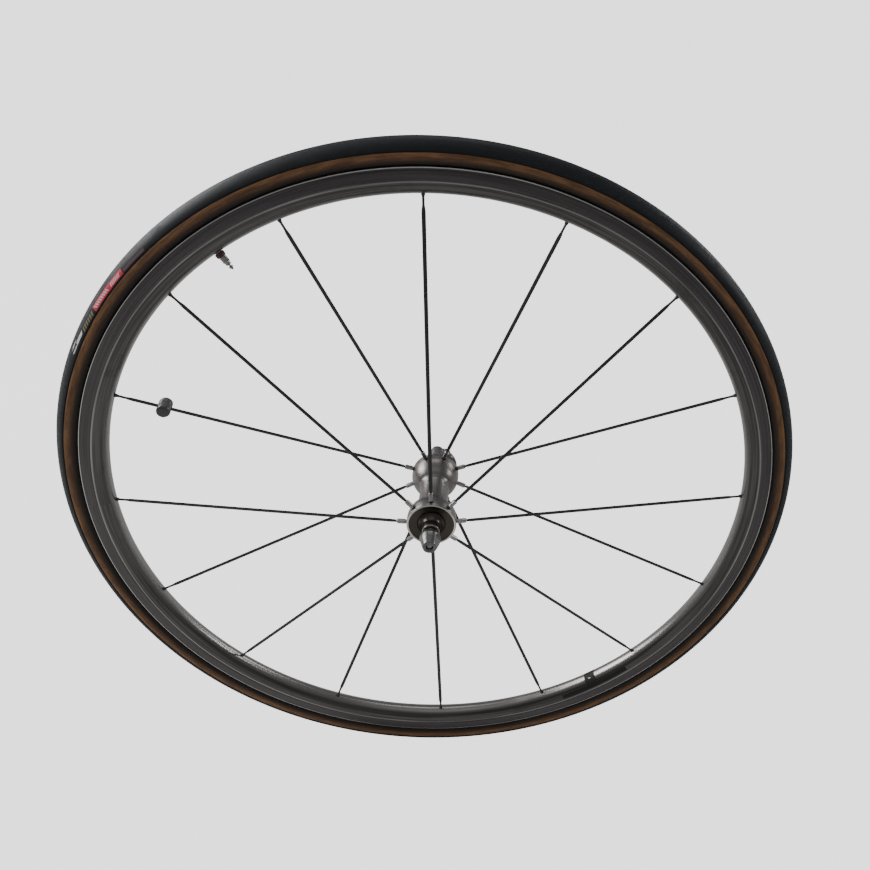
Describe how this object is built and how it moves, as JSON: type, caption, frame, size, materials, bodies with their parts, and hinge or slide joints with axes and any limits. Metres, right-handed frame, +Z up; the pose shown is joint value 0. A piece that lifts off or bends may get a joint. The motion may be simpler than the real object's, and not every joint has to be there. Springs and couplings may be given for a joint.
{
  "type": "bicycle front wheel",
  "caption": "Front road-bicycle wheel with a low alloy rim, radial bladed spokes, a tan-walled tyre, a spoke magnet and a quick-release skewer with a cam lever.",
  "frame": {"origin": "on the axle, midway between the two locknut faces", "axes": "+Y along the axle towards the cam lever, +Z up, +X to the right when seen from the adjusting nut"},
  "size_m": [0.6748, 0.15, 0.6748],
  "materials": {
    "rim_alloy": "dark anodised, satin",
    "tread_rubber": "matt",
    "tan_casing": "threads showing through a thin rubber coat",
    "tube_rubber": "smooth",
    "tape_cloth": "woven",
    "spoke_black": "black, satin",
    "nipple_silver": "polished",
    "hub_alloy": "dark anodised, polished",
    "axle_alloy": "machined",
    "locknut_alloy": "dark anodised",
    "bearing_steel": "ground",
    "seal_rubber": "matt",
    "skewer_steel": "plated",
    "nut_alloy": "dark anodised, satin",
    "housing_alloy": "dark anodised, satin",
    "lever_alloy": "dark anodised, satin",
    "valve_metal": "nickel plated",
    "ring_plastic": "moulded",
    "magnet_plastic": "moulded"
  },
  "bodies": {
    "axle_set": {"axle": "axle_alloy", "cone_nut_side": "bearing_steel", "cone_lever_side": "bearing_steel", "locknut_nut_side": "locknut_alloy", "locknut_lever_side": "locknut_alloy"},
    "wheel": {"hub_shell": "hub_alloy", "bearing_cup_nut_side": "bearing_steel", "bearing_cup_lever_side": "bearing_steel", "seal_nut_side": "seal_rubber", "seal_lever_side": "seal_rubber", "rim": "rim_alloy", "rim_tape": "tape_cloth", "inner_tube": "tube_rubber", "tyre_casing": "tan_casing", "tyre_tread": "tread_rubber", "valve_stem": "valve_metal", "valve_lock_ring": "ring_plastic", "spoke_magnet": "magnet_plastic", "magnet_screw": "magnet_plastic", "spoke_01": "spoke_black", "spoke_02": "spoke_black", "spoke_03": "spoke_black", "spoke_04": "spoke_black", "spoke_05": "spoke_black", "spoke_06": "spoke_black", "spoke_07": "spoke_black", "spoke_08": "spoke_black", "spoke_09": "spoke_black", "spoke_10": "spoke_black", "spoke_11": "spoke_black", "spoke_12": "spoke_black", "spoke_13": "spoke_black", "spoke_14": "spoke_black", "spoke_15": "spoke_black", "spoke_16": "spoke_black", "nipple_01": "nipple_silver", "nipple_02": "nipple_silver", "nipple_03": "nipple_silver", "nipple_04": "nipple_silver", "nipple_05": "nipple_silver", "nipple_06": "nipple_silver", "nipple_07": "nipple_silver", "nipple_08": "nipple_silver", "nipple_09": "nipple_silver", "nipple_10": "nipple_silver", "nipple_11": "nipple_silver", "nipple_12": "nipple_silver", "nipple_13": "nipple_silver", "nipple_14": "nipple_silver", "nipple_15": "nipple_silver", "nipple_16": "nipple_silver"},
    "valve_tip": {"valve_tip": "valve_metal"},
    "balls_nut_side": {"ball_ring_nut_side": "bearing_steel"},
    "balls_lever_side": {"ball_ring_lever_side": "bearing_steel"},
    "housing": {"lever_housing": "housing_alloy", "lever_spring": "skewer_steel"},
    "lever": {"cam_lever": "lever_alloy"},
    "skewer": {"skewer_rod": "skewer_steel"},
    "nut_carriage": {"nut_spring": "skewer_steel"},
    "nut": {"adjusting_nut": "nut_alloy"}
  },
  "joints": [
    {"name": "wheel_spin", "type": "hinge", "parent": "axle_set", "child": "wheel", "pos_m": [0, 0, 0], "axis": [0, 1, 0], "continuous": true},
    {"name": "ball_orbit_nut_side", "type": "hinge", "parent": "axle_set", "child": "balls_nut_side", "pos_m": [0, 0, 0], "axis": [0, 1, 0], "continuous": true},
    {"name": "ball_orbit_lever_side", "type": "hinge", "parent": "axle_set", "child": "balls_lever_side", "pos_m": [0, 0, 0], "axis": [0, 1, 0], "continuous": true},
    {"name": "skewer_turn", "type": "hinge", "parent": "axle_set", "child": "housing", "pos_m": [0, 0, 0], "axis": [0, 1, 0], "continuous": true},
    {"name": "lever_swing", "type": "hinge", "parent": "housing", "child": "lever", "pos_m": [0, 0.0703, 0], "axis": [1, 0, 0], "range_deg": [0, 180]},
    {"name": "rod_draw", "type": "slide", "parent": "housing", "child": "skewer", "axis": [0, -1, 0], "range_m": [0, 0.0018]},
    {"name": "nut_run", "type": "slide", "parent": "skewer", "child": "nut_carriage", "axis": [0, -1, 0], "range_m": [0, 0.008]},
    {"name": "nut_turn", "type": "hinge", "parent": "nut_carriage", "child": "nut", "pos_m": [0, -0.063, 0], "axis": [0, -1, 0], "range_deg": [0, 3600]},
    {"name": "valve_press", "type": "slide", "parent": "wheel", "child": "valve_tip", "axis": [-0.5556, 0, 0.8315], "range_m": [0, 0.0012], "stiffness_N_per_m": 400}
  ],
  "couplings": [
    {"joint": "ball_orbit_nut_side", "follows": "wheel_spin", "ratio": 0.595},
    {"joint": "ball_orbit_lever_side", "follows": "wheel_spin", "ratio": 0.595},
    {"joint": "rod_draw", "follows": "lever_swing", "m_per_rad": 0.0005729},
    {"joint": "nut_run", "follows": "nut_turn", "m_per_rad": 0.00012732}
  ]
}
